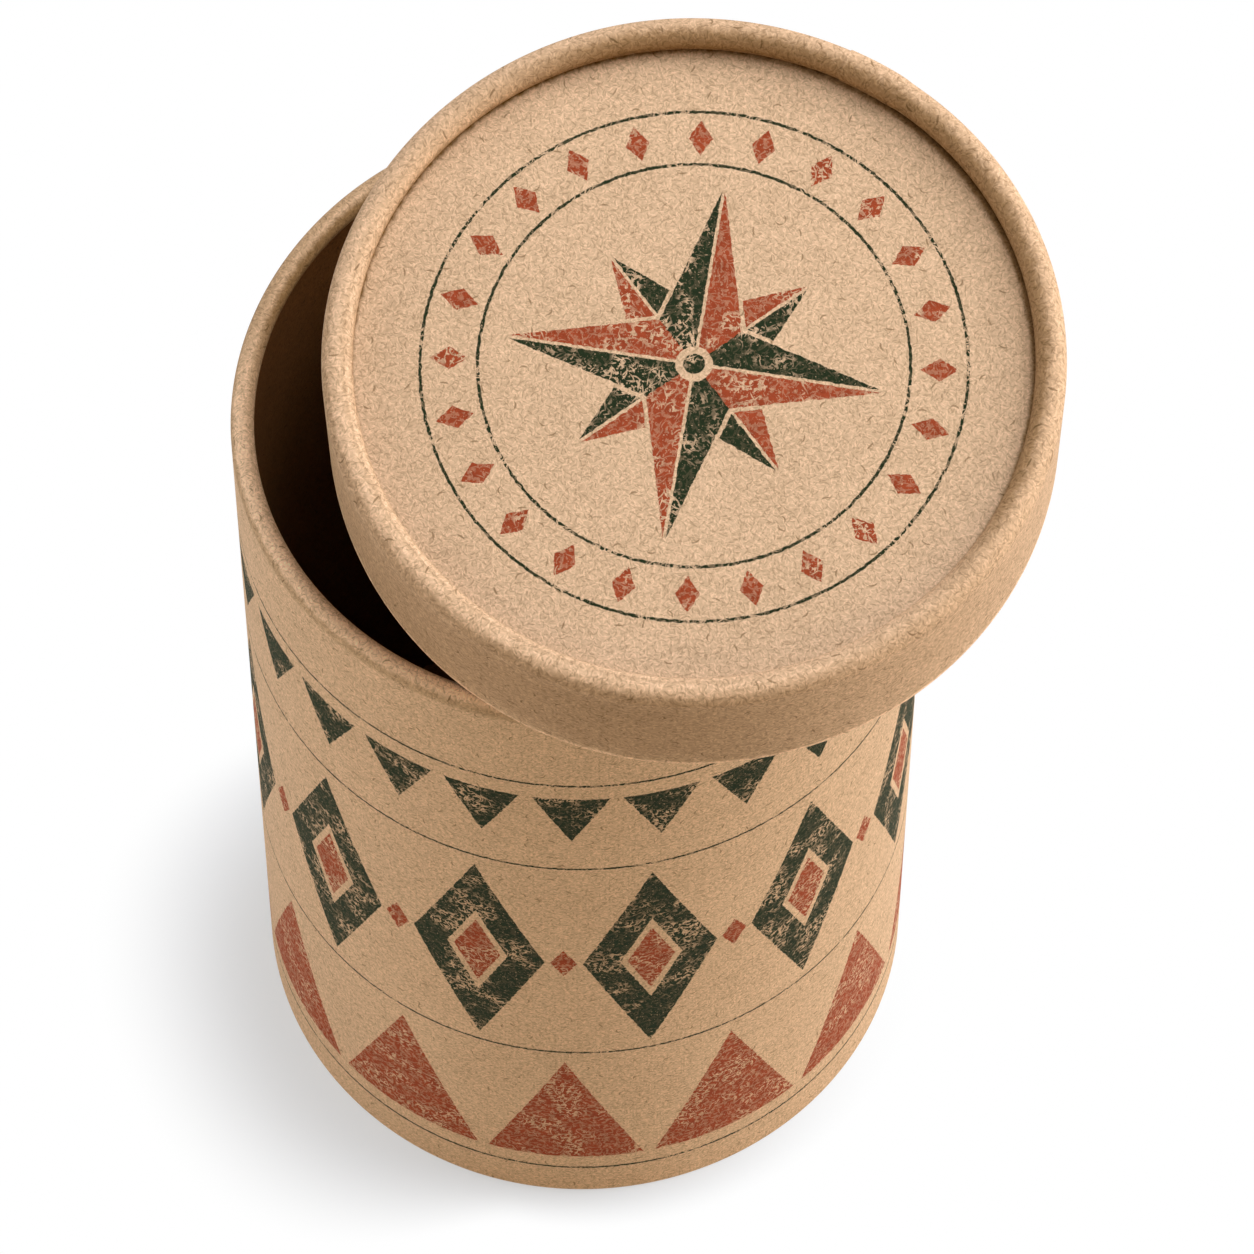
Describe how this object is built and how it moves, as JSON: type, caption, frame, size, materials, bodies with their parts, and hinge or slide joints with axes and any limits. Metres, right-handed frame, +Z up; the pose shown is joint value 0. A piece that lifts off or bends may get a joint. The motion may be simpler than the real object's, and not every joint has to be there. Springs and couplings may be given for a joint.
{
  "type": "round paperboard gift tube box",
  "caption": "Round kraft paperboard gift tube with rolled edges and a set-in floor, and a telescoping lid that lies askew on its open mouth and lifts off.",
  "frame": {"origin": "where the tube's axis meets the surface that the tube stands on", "axes": "+Z up along the tube's axis, -Y towards the viewer of the picture, +X to the viewer's right, the side that the lid is pushed to"},
  "size_m": [0.1172, 0.1098, 0.1969],
  "materials": {
    "kraft_board": "matt solid paperboard, wound and rolled",
    "printed_paper": "matt kraft paper, block printed in dark green and terracotta",
    "plain_paper": "matt kraft paper, unprinted"
  },
  "bodies": {
    "tube": {"tube": "kraft_board", "tube_wrap": "printed_paper", "tube_liner": "plain_paper", "tube_floor_disc": "kraft_board", "tube_floor_paper": "plain_paper", "tube_underside_paper": "plain_paper"},
    "lid": {"lid_ring": "kraft_board", "lid_wrap": "plain_paper", "lid_liner": "plain_paper", "lid_disc": "kraft_board", "lid_top_paper": "printed_paper", "lid_underside_paper": "plain_paper"}
  },
  "joints": [
    {"name": "lid_lift", "type": "slide", "parent": "tube", "child": "lid", "axis": [0, 0, 1], "range_m": [0, 0.12]}
  ]
}
